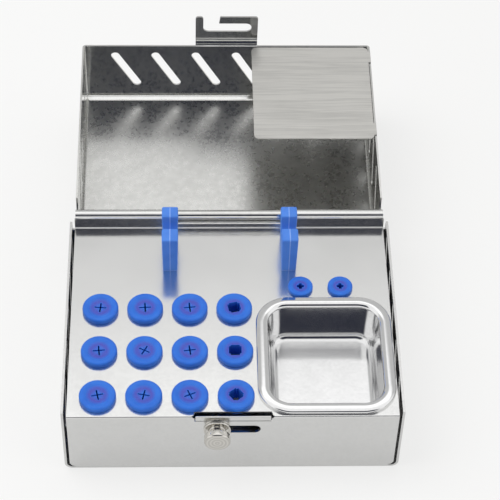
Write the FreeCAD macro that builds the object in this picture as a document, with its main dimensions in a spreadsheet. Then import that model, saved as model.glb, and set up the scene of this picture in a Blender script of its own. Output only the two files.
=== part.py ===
"""Implant instrument box: a folded steel cassette, open, with silicone plugs and a drawn cup.

The frame is millimetres with +Z up. The origin is the middle of the box's underside, the front
looks towards -Y, and the lid is swung back behind the box as it lies in use.
"""
import FreeCAD, Part
import math
import os

import Sketcher

V = FreeCAD.Vector

SIZES = {
    # folded tray: bottom, two sides and a low rear wall
    "box_width": 140.0,
    "box_depth": 103.0,
    "side_height": 39.0,
    "tray_sheet": 1.0,
    "tray_bend": 3.3,
    "rear_wall_height": 36.4,
    "steam_slot_width": 4.0,
    "steam_slot_pitch": 19.0,
    "tray_slot_run": 9.0,
    "tray_slot_rise": 16.0,
    "tray_slot_top_margin": 1.2,
    # deck sheet: front wall, deck, rear bend and the two outer knuckles
    "deck_height": 36.0,
    "deck_sheet": 1.0,
    "deck_side_gap": 1.1,
    "deck_front_bend": 2.0,
    "deck_rear_bend": 4.8,
    "front_corner": 3.0,
    # hinge
    "hinge_rise": 5.5,
    "hinge_inset": 0.4,
    "pin_diameter": 2.9,
    "pin_clearance": 0.05,
    "middle_knuckle": 51.2,
    "knuckle_gap": 0.25,
    "hinge_relief": 0.5,
    "seam_width": 0.3,
    # lid
    "lid_side_gap": 2.4,
    "lid_setback": 3.6,
    "lid_height": 36.0,
    "lid_sheet": 0.8,
    "lid_corner": 1.6,
    "lid_edge": 2.0,
    "lid_slot_run": 9.8,
    "lid_slot_rise": 18.4,
    "lid_slot_drop": 15.5,
    "lid_open_angle": 177.5,
    # latch tab on the lid, the slit it enters and the sliding knob
    "tab_width": 29.0,
    "tab_joggle_drop": 0.6,
    "tab_gap": 0.2,
    "tab_rake": 1.9,
    "tab_bar": 4.6,
    "tab_mouth": 7.0,
    "tab_mouth_shift": 0.9,
    "tab_mouth_flare": 0.9,
    "tab_slot_height": 6.0,
    "tab_slot_margin": 0.4,
    "tab_slot_flat": 0.3,
    "tab_corner": 1.4,
    "slit_length": 31.6,
    "slit_depth": 2.7,
    "slit_drop": 3.0,
    "slit_relief": 1.1,
    "knob_drop": 8.5,
    "knob_start": -6.5,
    "knob_travel": 15.4,
    "shank_diameter": 4.5,
    "shank_clearance": 0.2,
    "knob_flange": 10.0,
    "knob_flange_thick": 0.8,
    "knob_neck": 3.8,
    "knob_neck_length": 1.8,
    "knob_head": 8.4,
    "knob_head_length": 4.3,
    "knob_edge": 0.5,
    "washer_diameter": 7.4,
    "washer_thick": 0.8,
    "latch_depth": 3.1,
    "rivet_stand": 0.4,
    "running_gap": 0.08,
    # silicone plugs: their places are shares of the box's width and depth
    "plug_pitch_x_share": 0.135,
    "plug_pitch_y_share": 0.2214,
    "plug_first_x_share": -0.3957,
    "plug_first_y_share": 0.0961,
    "plug_flange": 15.2,
    "plug_height": 2.6,
    "plug_edge": 0.7,
    "plug_stem": 11.0,
    "plug_dish": 9.6,
    "plug_dish_depth": 0.4,
    "plug_bead": 12.4,
    "plug_bead_depth": 2.0,
    "plug_tail": 9.6,
    "plug_tail_depth": 3.4,
    "plug_slit_length": 5.4,
    "plug_slit_width": 0.5,
    "plug_socket": 5.3,
    "plug_socket_arm": 3.8,
    "small_plug_flange": 10.7,
    "small_plug_height": 1.8,
    "small_plug_stem": 7.2,
    "small_plug_x_share": 0.2136,
    "small_plug_pitch_share": 0.1221,
    "small_plug_y_share": 0.6553,
    "small_plug_hole": 3.0,
    "small_plug_hole_arm": 1.3,
    "soft_gap": 0.05,
    # silicone brackets for the wrench
    "bracket_left_share": -0.1857,
    "bracket_right_share": 0.1807,
    "bracket_rear_gap": 0.2,
    "bracket_width": 7.0,
    "bracket_foot_width": 6.2,
    "bracket_height": 19.8,
    "bracket_front_lobe": 7.0,
    "bracket_notch": 6.6,
    "bracket_rear_lobe": 6.0,
    "bracket_notch_depth": 9.6,
    "bracket_corner": 0.6,
    "bracket_tongue": 3.6,
    "bracket_tongue_inset": 2.5,
    "bracket_bead": 6.0,
    "bracket_bead_depth": 2.2,
    # drawn cup and its cover in the lid: shares of the box's width and depth
    "cup_x_share": 0.2779,
    "cup_y_share": 0.3019,
    "cup_width_share": 0.4093,
    "cup_depth_share": 0.567,
    "cup_rim_corner": 14.0,
    "cup_rim_height": 2.2,
    "cup_rim_width": 5.2,
    "cup_draft": 5.1,
    "cup_depth": 20.5,
    "cup_sheet": 0.8,
    "cup_floor_fillet": 3.2,
    "cup_roll": 1.5,
    "cup_seat_gap": 0.6,
    "cover_width_share": 0.3914,
    "cover_depth_share": 0.5534,
    "cover_sheet": 0.6,
    "cover_inset": 0.3,
    "cover_corner": 2.5,
    "cover_ear": 7.0,
    "cover_front_gap": 1.2,
}

PLUG_COLUMNS = 4
PLUG_ROWS = 3
SOCKET_COLUMN = 3
TRAY_SLOTS = 5
LID_FRONT_SLOTS = 6
LID_SIDE_SLOTS = 4
SLIT_TURNS = (12.0, 78.0, 24.0, 40.0, 5.0, 62.0, 8.0, 0.0, 84.0, 3.0, 6.0, 12.0)


class Size:
    """A length known both as a number and as an expression over the sheet's cells."""

    def __init__(self, value, text):
        self.value = value
        self.text = text

    def __add__(self, other):
        other = as_size(other)
        return Size(self.value + other.value, f"({self.text} + {other.text})")

    def __sub__(self, other):
        other = as_size(other)
        return Size(self.value - other.value, f"({self.text} - {other.text})")

    def __rsub__(self, other):
        return as_size(other) - self

    def __mul__(self, factor):
        factor = as_size(factor)
        return Size(self.value * factor.value, f"({self.text} * {factor.text})")

    def __truediv__(self, factor):
        factor = as_size(factor)
        return Size(self.value / factor.value, f"({self.text} / {factor.text})")

    def __neg__(self):
        return self * -1

    __radd__ = __add__
    __rmul__ = __mul__


def as_size(number):
    """A plain number as a Size, so that both can stand in one sum."""
    return number if isinstance(number, Size) else Size(float(number), f"({number})")


class Sheet:
    """The spreadsheet: every driving size is a cell with an alias and an attribute here."""

    def __init__(self, doc, sizes):
        self.table = doc.addObject("Spreadsheet::Sheet", "Sizes")
        for row, (name, value) in enumerate(sizes.items(), start=1):
            self.table.set(f"A{row}", name)
            self.table.set(f"B{row}", str(value))
            self.table.setAlias(f"B{row}", name)
            setattr(self, name, Size(value, f"Sizes.{name}"))
        doc.recompute()


doc = FreeCAD.newDocument("InstrumentBox")
s = Sheet(doc, SIZES)

# places that several pieces share
front = -s.box_depth / 2
rear = s.box_depth / 2
half_width = s.box_width / 2
deck_half = half_width - s.tray_sheet - s.deck_side_gap
knuckle_bore = s.pin_diameter / 2 + s.pin_clearance
base_knuckle = knuckle_bore + s.deck_sheet
lid_knuckle = knuckle_bore + s.lid_sheet
hinge_y = rear + knuckle_bore
hinge_z = s.deck_height + s.hinge_rise
rim_z = s.side_height
lid_front = front + s.lid_setback
lid_half = half_width - s.lid_side_gap
hinge_length = (deck_half - s.hinge_inset) * 2
knob_x = s.knob_start
knob_z = s.deck_height - s.knob_drop
cup_x = s.box_width * s.cup_x_share
cup_y = front + s.box_depth * s.cup_y_share
cup_half_x = s.box_width * s.cup_width_share / 2
cup_half_y = s.box_depth * s.cup_depth_share / 2
bracket_length = s.bracket_front_lobe + s.bracket_notch + s.bracket_rear_lobe
bracket_y = rear - s.deck_sheet - s.deck_rear_bend - s.bracket_rear_gap - bracket_length


def bind(obj, prop, size):
    """Tie one property of an object to the sheet."""
    obj.setExpression(prop, size.text)


class Drawing:
    """A sketch on one of a body's origin planes, drawn with constraints tied to the sheet."""

    def __init__(self, body, name, plane, offset=None):
        self.sketch = body.newObject("Sketcher::SketchObject", name)
        role = f"{plane}_Plane"
        support = [item for item in body.Origin.OriginFeatures if item.Role == role][0]
        self.sketch.AttachmentSupport = [(support, "")]
        self.sketch.MapMode = "FlatFace"
        if offset is not None:
            self.sketch.AttachmentOffset = FreeCAD.Placement(V(0, 0, offset.value), FreeCAD.Rotation())
            bind(self.sketch, "AttachmentOffset.Base.z", offset)

    def raise_origin(self, height):
        """Lift the sketch's own origin, so that its axis lies at a height."""
        offset = self.sketch.AttachmentOffset
        self.sketch.AttachmentOffset = FreeCAD.Placement(V(0, height.value, offset.Base.z), offset.Rotation)
        bind(self.sketch, "AttachmentOffset.Base.y", height)

    def _limit(self, kind, *place, size):
        index = self.sketch.addConstraint(Sketcher.Constraint(kind, *place, size.value))
        bind(self.sketch, f"Constraints[{index}]", size)

    def _join(self, first, second):
        self.sketch.addConstraint(Sketcher.Constraint("Coincident", first, 2, second, 1))

    def circle(self, across, up, radius):
        """A circle about a point."""
        shape = Part.Circle(V(across.value, up.value, 0), V(0, 0, 1), radius.value)
        index = self.sketch.addGeometry(shape, False)
        self._limit("DistanceX", index, 3, size=across)
        self._limit("DistanceY", index, 3, size=up)
        self._limit("Radius", index, size=radius)

    def outline(self, corners):
        """A closed outline of straight lines through (across, up) corners."""
        count = len(corners)
        points = [V(across.value, up.value, 0) for across, up in corners]
        lines = [
            self.sketch.addGeometry(Part.LineSegment(points[i], points[(i + 1) % count]), False)
            for i in range(count)
        ]
        for i, line in enumerate(lines):
            self._join(line, lines[(i + 1) % count])
            self._limit("DistanceX", line, 1, size=corners[i][0])
            self._limit("DistanceY", line, 1, size=corners[i][1])

    def box(self, left, right, low, high):
        """An upright rectangle."""
        self.outline([(left, low), (right, low), (right, high), (left, high)])

    def rounded_box(self, left, right, low, high, radius):
        """An upright rectangle with four round corners."""
        x0, x1, y0, y1, r = left.value, right.value, low.value, high.value, radius.value
        centres = [(x1 - r, y0 + r), (x1 - r, y1 - r), (x0 + r, y1 - r), (x0 + r, y0 + r)]
        ends = [
            (V(x0 + r, y0, 0), V(x1 - r, y0, 0)),
            (V(x1, y0 + r, 0), V(x1, y1 - r, 0)),
            (V(x1 - r, y1, 0), V(x0 + r, y1, 0)),
            (V(x0, y1 - r, 0), V(x0, y0 + r, 0)),
        ]
        lines = []
        arcs = []
        for side, ((begin, end), (across, up)) in enumerate(zip(ends, centres)):
            lines.append(self.sketch.addGeometry(Part.LineSegment(begin, end), False))
            circle = Part.Circle(V(across, up, 0), V(0, 0, 1), r)
            start = math.radians(90 * side - 90)
            arcs.append(self.sketch.addGeometry(Part.ArcOfCircle(circle, start, start + math.pi / 2), False))
        for side, (line, arc) in enumerate(zip(lines, arcs)):
            flat = "Horizontal" if side % 2 == 0 else "Vertical"
            self.sketch.addConstraint(Sketcher.Constraint(flat, line))
            self.sketch.addConstraint(Sketcher.Constraint("Tangent", line, 2, arc, 1))
            self.sketch.addConstraint(Sketcher.Constraint("Tangent", arc, 2, lines[(side + 1) % 4], 1))
            self._limit("Radius", arc, size=radius)
        self._limit("DistanceY", lines[0], 1, size=low)
        self._limit("DistanceX", lines[1], 1, size=right)
        self._limit("DistanceY", lines[2], 1, size=high)
        self._limit("DistanceX", lines[3], 1, size=left)

    def slot(self, start, end, radius):
        """A slanted slot with round ends between two centres."""
        first = V(start[0].value, start[1].value, 0)
        last = V(end[0].value, end[1].value, 0)
        heading = math.atan2(last.y - first.y, last.x - first.x)
        aside = V(-math.sin(heading), math.cos(heading), 0) * radius.value
        quarter = math.pi / 2
        normal = V(0, 0, 1)
        near = Part.ArcOfCircle(Part.Circle(first, normal, radius.value), heading + quarter, heading + 3 * quarter)
        far = Part.ArcOfCircle(Part.Circle(last, normal, radius.value), heading - quarter, heading + quarter)
        arc_near = self.sketch.addGeometry(near, False)
        low = self.sketch.addGeometry(Part.LineSegment(first - aside, last - aside), False)
        arc_far = self.sketch.addGeometry(far, False)
        high = self.sketch.addGeometry(Part.LineSegment(last + aside, first + aside), False)
        chain = (arc_near, low, arc_far, high)
        for index, item in enumerate(chain):
            following = chain[(index + 1) % 4]
            self.sketch.addConstraint(Sketcher.Constraint("Tangent", item, 2, following, 1))
        for arc, (across, up) in ((arc_near, start), (arc_far, end)):
            self._limit("DistanceX", arc, 3, size=across)
            self._limit("DistanceY", arc, 3, size=up)
        self._limit("Radius", arc_near, size=radius)


def new_body(label):
    """An empty body with its file's name as label."""
    body = doc.addObject("PartDesign::Body", label)
    body.Label = label
    return body


def pad(body, drawing, length, both_ways=False, reverse=False):
    """Add material along the sketch's normal."""
    feature = body.newObject("PartDesign::Pad", "Pad")
    feature.Profile = drawing.sketch
    feature.Length = length.value
    bind(feature, "Length", length)
    feature.Midplane = both_ways
    feature.Reversed = reverse
    drawing.sketch.Visibility = False
    return feature


def cut(body, drawing, length=None, both_ways=False, reverse=False):
    """Take material away, by a length or right through."""
    feature = body.newObject("PartDesign::Pocket", "Pocket")
    feature.Profile = drawing.sketch
    if length is None:
        feature.Type = "ThroughAll"
    else:
        feature.Length = length.value
        bind(feature, "Length", length)
    feature.Midplane = both_ways
    feature.Reversed = reverse
    doc.recompute()
    return feature


def round_edges(body, wanted, radius):
    """Round the edges of the body's tip that a test picks."""
    doc.recompute()
    tip = body.Tip
    names = [f"Edge{i}" for i, edge in enumerate(tip.Shape.Edges, start=1) if wanted(edge)]
    feature = body.newObject("PartDesign::Fillet", "Fillet")
    feature.Base = (tip, names)
    feature.Radius = radius.value
    bind(feature, "Radius", radius)
    doc.recompute()
    return feature


def faces_of(body, wanted):
    """The body's tip and the names of its faces that a test picks."""
    doc.recompute()
    tip = body.Tip
    return tip, [f"Face{i}" for i, face in enumerate(tip.Shape.Faces, start=1) if wanted(face)]


def box_of(edge):
    return edge.BoundBox


def is_near(value, target, slack=0.02):
    return abs(value - target) < slack


def upright(edge):
    """Whether an edge runs straight up."""
    bounds = box_of(edge)
    return bounds.XLength < 0.01 and bounds.YLength < 0.01 and bounds.ZLength > 0.01


def level_at(edge, height):
    """Whether an edge lies flat at a height."""
    bounds = box_of(edge)
    return bounds.ZLength < 0.01 and is_near(bounds.ZMin, height)


def base_tray():
    """Folded outer tray: bottom, two sides with steam slots, and a rear wall under the deck."""
    body = new_body("base_tray")
    profile = Drawing(body, "Section", "XZ", -rear)
    inner = half_width - s.tray_sheet
    profile.outline([
        (-half_width, as_size(0)), (half_width, as_size(0)), (half_width, s.side_height),
        (inner, s.side_height), (inner, s.tray_sheet), (-inner, s.tray_sheet),
        (-inner, s.side_height), (-half_width, s.side_height),
    ])
    pad(body, profile, s.box_depth)
    round_edges(body, lambda e: along_y(e) and level_at(e, 0.0), s.tray_bend)
    round_edges(body, lambda e: along_y(e) and level_at(e, s.tray_sheet.value), s.tray_bend - s.tray_sheet)
    wall = Drawing(body, "RearWall", "XZ", -rear)
    wall.box(-inner, inner, s.tray_sheet / 2, s.rear_wall_height)
    pad(body, wall, s.tray_sheet)
    slots = Drawing(body, "SteamSlots", "YZ")
    top = s.side_height - s.tray_slot_top_margin - s.steam_slot_width / 2
    for index in range(TRAY_SLOTS):
        middle = s.steam_slot_pitch * (index - (TRAY_SLOTS - 1) / 2)
        start = (middle - s.tray_slot_run / 2, top - s.tray_slot_rise)
        end = (middle + s.tray_slot_run / 2, top)
        slots.slot(start, end, s.steam_slot_width / 2)
    cut(body, slots, s.box_width * 2, both_ways=True)
    return body


def along_y(edge):
    bounds = box_of(edge)
    return bounds.YLength > 1.0 and bounds.XLength < 0.01 and bounds.ZLength < 0.01


def along_x(edge):
    bounds = box_of(edge)
    return bounds.XLength > 1.0 and bounds.YLength < 0.01 and bounds.ZLength < 0.01


def at_place(edge, y, z):
    """Whether an edge along X lies at one place of the side view."""
    bounds = box_of(edge)
    return along_x(edge) and is_near(bounds.YMin, y.value) and is_near(bounds.ZMin, z.value)


def knuckle(body, outer, length, offset=None):
    """A rolled tube of sheet about the hinge axis, added to a body."""
    ring = Drawing(body, "Knuckle", "YZ", offset)
    ring.circle(hinge_y, hinge_z, outer)
    ring.circle(hinge_y, hinge_z, knuckle_bore)
    pad(body, ring, length, both_ways=True)


def seam(body, outer, low_side):
    """The thin gap where a rolled edge meets its own sheet."""
    gap = Drawing(body, "Seam", "YZ")
    wall = knuckle_bore + (outer - knuckle_bore) / 2
    up = -wall if low_side else wall
    left = hinge_y - knuckle_bore
    gap.box(left + s.seam_width / 2, left + s.seam_width * 1.5, hinge_z + up - wall / 2, hinge_z + up + wall / 2)
    cut(body, gap, s.box_width * 2, both_ways=True)


def deck_sheet():
    """One folded sheet: front wall, deck, rear bend and the two outer hinge knuckles."""
    body = new_body("deck_sheet")
    top = s.deck_height
    under = s.deck_height - s.deck_sheet
    wall = rear - s.deck_sheet
    section = Drawing(body, "Section", "YZ")
    section.outline([
        (front, s.tray_sheet), (front + s.deck_sheet, s.tray_sheet), (front + s.deck_sheet, under),
        (rear, under), (rear, hinge_z), (wall, hinge_z), (wall, top), (front, top),
    ])
    pad(body, section, deck_half * 2, both_ways=True)
    round_edges(body, lambda e: at_place(e, front, top), s.deck_front_bend)
    round_edges(body, lambda e: at_place(e, front + s.deck_sheet, under), s.deck_front_bend - s.deck_sheet)
    round_edges(body, lambda e: at_place(e, wall, top), s.deck_rear_bend)
    round_edges(body, lambda e: at_place(e, rear, under), s.deck_rear_bend + s.deck_sheet)
    knuckle(body, base_knuckle, hinge_length)
    notch = Drawing(body, "MiddleNotch", "YZ")
    low = hinge_z - base_knuckle - s.hinge_relief
    notch.box(wall - s.deck_rear_bend, rear + base_knuckle * 2 + 1, low, hinge_z + base_knuckle * 2)
    cut(body, notch, s.middle_knuckle + s.knuckle_gap * 2, both_ways=True)
    seam(body, base_knuckle, low_side=True)
    corners = [front.value, front.value + s.deck_sheet.value]

    def lower_corner(edge):
        bounds = box_of(edge)
        across = is_near(bounds.YMin, corners[0]) and is_near(bounds.YMax, corners[1])
        return across and is_near(bounds.ZMax, s.tray_sheet.value) and bounds.XLength < 0.01

    round_edges(body, lower_corner, s.front_corner)
    openings = Drawing(body, "DeckOpenings", "XY", top + s.deck_sheet)
    for x, y, _ in plug_places():
        openings.circle(x, y, s.plug_stem / 2 + s.soft_gap)
    for x, y in small_plug_places():
        openings.circle(x, y, s.small_plug_stem / 2 + s.soft_gap)
    seat = s.cup_rim_width - s.cup_sheet - s.cup_seat_gap
    half_x = cup_half_x - seat
    half_y = cup_half_y - seat
    openings.rounded_box(cup_x - half_x, cup_x + half_x, cup_y - half_y, cup_y + half_y, s.cup_rim_corner - seat)
    cut(body, openings, s.deck_sheet * 3)
    tongues = Drawing(body, "BracketSlots", "XY", top + s.deck_sheet)
    for x in (s.box_width * s.bracket_left_share, s.box_width * s.bracket_right_share):
        half = s.bracket_tongue / 2 + s.soft_gap
        near, far = bracket_tongue_span()
        tongues.box(x - half, x + half, near - s.soft_gap, far + s.soft_gap)
    cut(body, tongues, s.deck_sheet * 3)
    slit = Drawing(body, "TabSlit", "YZ")
    slit.box(front - 1, front + s.slit_depth, top - s.slit_drop, top + 1)
    cut(body, slit, s.slit_length, both_ways=True)
    ends = Drawing(body, "SlitEnds", "XY", top + s.deck_sheet)
    for side in (-1, 1):
        ends.circle(s.slit_length * side / 2, front + s.deck_sheet, s.slit_relief)
    cut(body, ends, s.slit_drop)
    run = Drawing(body, "KnobSlot", "XZ")
    run.slot((knob_x, knob_z), (knob_x + s.knob_travel, knob_z),
             s.shank_diameter / 2 + s.shank_clearance)
    cut(body, run, s.box_depth, reverse=True)
    return body


def plug_places():
    """Middle of each large plug, row by row from the front, with its number."""
    places = []
    for row in range(PLUG_ROWS):
        for column in range(PLUG_COLUMNS):
            x = s.box_width * (s.plug_first_x_share + s.plug_pitch_x_share * column)
            y = front + s.box_depth * (s.plug_first_y_share + s.plug_pitch_y_share * row)
            places.append((x, y, row * PLUG_COLUMNS + column))
    return places


def small_plug_places():
    """Middle of each of the two small plugs behind the cup."""
    x = s.box_width * s.small_plug_x_share
    y = front + s.box_depth * s.small_plug_y_share
    return [(x, y), (x + s.box_width * s.small_plug_pitch_share, y)]


def bracket_tongue_span():
    """Front and rear of the tongue with which a bracket sits in the deck."""
    return bracket_y + s.bracket_tongue_inset, bracket_y + bracket_length - s.bracket_tongue_inset


def opened(body):
    """Swing a lid piece, drawn closed, back about the hinge axis."""
    turn = math.radians(s.lid_open_angle.value)
    cosine = Size(math.cos(turn), f"cos({s.lid_open_angle.text} * 1deg)")
    sine = Size(math.sin(turn), f"sin({s.lid_open_angle.text} * 1deg)")
    shift_y = hinge_y - (hinge_y * cosine + hinge_z * sine)
    shift_z = hinge_z - (hinge_z * cosine - hinge_y * sine)
    rotation = FreeCAD.Rotation(V(1, 0, 0), -s.lid_open_angle.value)
    body.Placement = FreeCAD.Placement(V(0, shift_y.value, shift_z.value), rotation)
    bind(body, "Placement.Base.y", shift_y)
    bind(body, "Placement.Base.z", shift_z)
    bind(body, "Placement.Rotation.Angle", s.lid_open_angle)
    body.Placement.Rotation.Axis = V(-1, 0, 0)
    return body


def lid_shell():
    """Folded lid: top plate, four walls with steam slots, latch tab and the middle knuckle."""
    body = new_body("lid_shell")
    block = Drawing(body, "Outside", "XY", rim_z)
    block.rounded_box(-lid_half, lid_half, lid_front, rear, s.lid_corner)
    pad(body, block, s.lid_height)
    top = rim_z + s.lid_height
    round_edges(body, lambda e: level_at(e, top.value), s.lid_edge)
    inside = Drawing(body, "Inside", "XY", rim_z)
    inner = lid_half - s.lid_sheet
    inside.rounded_box(-inner, inner, lid_front + s.lid_sheet, rear - s.lid_sheet, s.lid_corner - s.lid_sheet)
    cut(body, inside, s.lid_height - s.lid_sheet, reverse=True)
    ceiling = top - s.lid_sheet
    round_edges(body, lambda e: level_at(e, ceiling.value), s.lid_edge - s.lid_sheet)
    relief = Drawing(body, "HingeRelief", "YZ")
    relief_top = hinge_z + base_knuckle + s.hinge_relief
    relief_front = rear - s.deck_sheet - s.deck_rear_bend - s.hinge_relief
    relief.box(relief_front, rear + 1, rim_z - 1, relief_top)
    cut(body, relief, s.box_width * 2, both_ways=True)
    leaf = Drawing(body, "Leaf", "YZ")
    leaf.box(rear - s.lid_sheet, rear, hinge_z, relief_top + s.lid_sheet)
    pad(body, leaf, s.middle_knuckle, both_ways=True)
    knuckle(body, lid_knuckle, s.middle_knuckle)
    seam(body, lid_knuckle, low_side=False)
    latch_tab(body)
    slots = Drawing(body, "FrontSlots", "XZ")
    middle_z = rim_z + s.lid_slot_drop
    for index in range(LID_FRONT_SLOTS):
        middle = s.steam_slot_pitch * (index - (LID_FRONT_SLOTS - 1) / 2)
        start = (middle - s.lid_slot_run / 2, middle_z - s.lid_slot_rise / 2)
        end = (middle + s.lid_slot_run / 2, middle_z + s.lid_slot_rise / 2)
        slots.slot(start, end, s.steam_slot_width / 2)
    cut(body, slots, s.box_depth, reverse=True)
    sides = Drawing(body, "SideSlots", "YZ")
    for index in range(LID_SIDE_SLOTS):
        middle = s.steam_slot_pitch * (index - (LID_SIDE_SLOTS - 1) / 2)
        start = (middle - s.lid_slot_run / 2, middle_z - s.lid_slot_rise / 2)
        end = (middle + s.lid_slot_run / 2, middle_z + s.lid_slot_rise / 2)
        sides.slot(start, end, s.steam_slot_width / 2)
    cut(body, sides, s.box_width * 2, both_ways=True)
    return opened(body)


def latch_tab(body):
    """Tab in the middle of the lid's front rim: joggled outward, raked, with a J-shaped slot."""
    sheet = s.lid_sheet
    tight = math.tan(math.radians(22.5))
    outer_y = front + s.deck_sheet + s.tab_gap
    step = lid_front - outer_y
    low = rim_z - s.tab_joggle_drop
    high = low + step
    slot_low = knob_z - s.shank_diameter / 2 - s.tab_slot_margin
    slot_high = slot_low + s.tab_slot_height
    tip = slot_low - s.tab_bar
    root = high + sheet * 2
    shape = Drawing(body, "Tab", "YZ")
    shape.outline([
        (lid_front, root), (lid_front, high), (outer_y, low), (outer_y + s.tab_rake, tip),
        (outer_y + s.tab_rake + sheet, tip), (outer_y + sheet, low - sheet * tight),
        (lid_front + sheet, high - sheet * tight), (lid_front + sheet, root),
    ])
    pad(body, shape, s.tab_width, both_ways=True)
    mouth_left = knob_x - s.tab_mouth / 2 - s.tab_mouth_shift
    mouth_right = mouth_left + s.tab_mouth
    run_end = knob_x + s.knob_travel + s.shank_diameter / 2 + s.shank_clearance * 2
    run = Drawing(body, "TabSlot", "XZ")
    run.rounded_box(mouth_left, run_end, slot_low, slot_high, s.tab_slot_height / 2 - s.tab_slot_flat)
    cut(body, run, s.box_depth, reverse=True)
    mouth = Drawing(body, "TabMouth", "XZ")
    flare = s.tab_mouth_flare
    mouth.outline([
        (mouth_left, tip - 1), (mouth_right + flare, tip - 1), (mouth_right, slot_low + s.tab_slot_height / 2),
        (mouth_left, slot_low + s.tab_slot_height / 2),
    ])
    cut(body, mouth, s.box_depth, reverse=True)
    half = s.tab_width / 2

    def tip_corner(edge):
        bounds = box_of(edge)
        outer = is_near(abs(bounds.XMin), half.value) or is_near(bounds.XMin, mouth_left.value)
        return outer and bounds.XLength < 0.01 and bounds.ZLength < 0.01 and is_near(bounds.ZMin, tip.value)

    round_edges(body, tip_corner, s.tab_corner)


def cup_cover():
    """Flat brushed plate welded under the lid's rim by two ears; it closes the cup."""
    body = new_body("cup_cover")
    plate = Drawing(body, "Plate", "XY", rim_z - s.cover_sheet)
    right = lid_half - s.lid_sheet - s.cover_inset
    near = lid_front + s.lid_sheet + s.cover_front_gap
    far = near + s.box_depth * s.cover_depth_share
    plate.rounded_box(right - s.box_width * s.cover_width_share, right, near, far, s.cover_corner)
    pad(body, plate, s.cover_sheet)
    ears = Drawing(body, "Ears", "XY", rim_z - s.cover_sheet)
    for start in (near + s.cover_corner, far - s.cover_corner - s.cover_ear):
        ears.box(right - s.cover_corner, lid_half, start, start + s.cover_ear)
    pad(body, ears, s.cover_sheet)
    return opened(body)


def hinge_pin():
    """Straight pin through all three knuckles."""
    body = new_body("hinge_pin")
    section = Drawing(body, "Section", "YZ")
    section.circle(hinge_y, hinge_z, s.pin_diameter / 2)
    pad(body, section, hinge_length, both_ways=True)
    return body


def sample_cup():
    """Drawn cup with tapering walls and a rolled rim, hanging in its opening in the deck."""
    body = new_body("cup")

    def ring(drawing, inset):
        """The rim's outline drawn in by an inset all round."""
        half_x = cup_half_x - inset
        half_y = cup_half_y - inset
        corner = s.cup_rim_corner - inset
        drawing.rounded_box(cup_x - half_x, cup_x + half_x, cup_y - half_y, cup_y + half_y, corner)
        return drawing

    deck = s.deck_height
    sheet = s.cup_sheet
    rim_top = deck + s.cup_rim_height
    floor = rim_top - s.cup_depth
    pad(body, ring(Drawing(body, "Outside", "XY", floor), s.cup_rim_width - sheet), s.cup_depth)
    block, top = faces_of(body, lambda f: is_near(f.BoundBox.ZMin, rim_top.value))
    _, sides = faces_of(body, lambda f: f.BoundBox.ZLength > 1.0)
    draft = body.newObject("PartDesign::Draft", "Taper")
    draft.Base = (block, sides)
    draft.NeutralPlane = (block, top)
    draft.Angle = s.cup_draft.value
    draft.Reversed = True
    bind(draft, "Angle", s.cup_draft)
    round_edges(body, lambda e: level_at(e, floor.value), s.cup_floor_fillet + sheet)
    block, top = faces_of(body, lambda f: is_near(f.BoundBox.ZMin, rim_top.value))
    shell = body.newObject("PartDesign::Thickness", "Wall")
    shell.Base = (block, top)
    shell.Value = sheet.value
    shell.Reversed = True
    bind(shell, "Value", sheet)
    rim = ring(Drawing(body, "Rim", "XY", deck), as_size(0))
    ring(rim, s.cup_rim_width - sheet * 0.5)
    pad(body, rim, s.cup_rim_height)
    doc.recompute()
    outside = cup_half_x.value - s.cup_rim_width.value / 2

    def rolled(edge):
        bounds = box_of(edge)
        reach = max(bounds.XMax - cup_x.value, cup_x.value - bounds.XMin)
        return level_at(edge, rim_top.value) and reach > outside

    round_edges(body, rolled, s.cup_roll)
    channel = ring(Drawing(body, "UnderRim", "XY", deck), sheet)
    ring(channel, s.cup_rim_width - sheet * 1.5)
    cut(body, channel, s.cup_rim_height - sheet, reverse=True)
    return body


def cross_outline(length, width):
    """Corners of a plus sign, counter-clockwise from the lower arm."""
    a = length / 2
    b = width / 2
    return [(-b, -a), (b, -a), (b, -b), (a, -b), (a, b), (b, b), (b, a), (-b, a), (-b, b), (-a, b), (-a, -b), (-b, -b)]


def place(body, x, y, z, turn=0.0):
    """Stand a piece drawn about its own origin at its place."""
    body.Placement = FreeCAD.Placement(V(x.value, y.value, z.value), FreeCAD.Rotation(V(0, 0, 1), turn))
    bind(body, "Placement.Base.x", x)
    bind(body, "Placement.Base.y", y)
    bind(body, "Placement.Base.z", z)
    return body


def revolve(body, drawing, axis):
    """Turn a profile round one of its sketch's own axes."""
    feature = body.newObject("PartDesign::Revolution", "Revolution")
    feature.Profile = drawing.sketch
    feature.ReferenceAxis = (drawing.sketch, [axis])
    feature.Angle = 360.0
    drawing.sketch.Visibility = False
    doc.recompute()
    return feature


def silicone_plug(name, flange, height, stem, bead, tail, depth):
    """Grommet that snaps into the deck: flange with a sunken middle, stem, bead and tail."""
    body = new_body(name)
    zero = as_size(0)
    profile = Drawing(body, "Profile", "XZ")
    radius = flange / 2
    bead_top = -(s.deck_sheet + s.soft_gap)
    dish = radius - (s.plug_flange - s.plug_dish) / 2
    profile.outline([
        (zero, bead_top - depth), (tail / 2, bead_top - depth), (bead / 2, bead_top - s.plug_bead_depth),
        (bead / 2, bead_top), (stem / 2, bead_top), (stem / 2, zero), (radius, zero),
        (radius, height - s.plug_edge), (radius - s.plug_edge, height), (dish, height),
        (dish - s.plug_dish_depth, height - s.plug_dish_depth), (zero, height - s.plug_dish_depth),
    ])
    revolve(body, profile, "V_Axis")
    return body


def pierce(body, length, width):
    """Cut a cross-shaped hole right down a plug."""
    hole = Drawing(body, "Hole", "XY")
    hole.outline(cross_outline(length, width))
    cut(body, hole, s.deck_height, both_ways=True)


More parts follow.
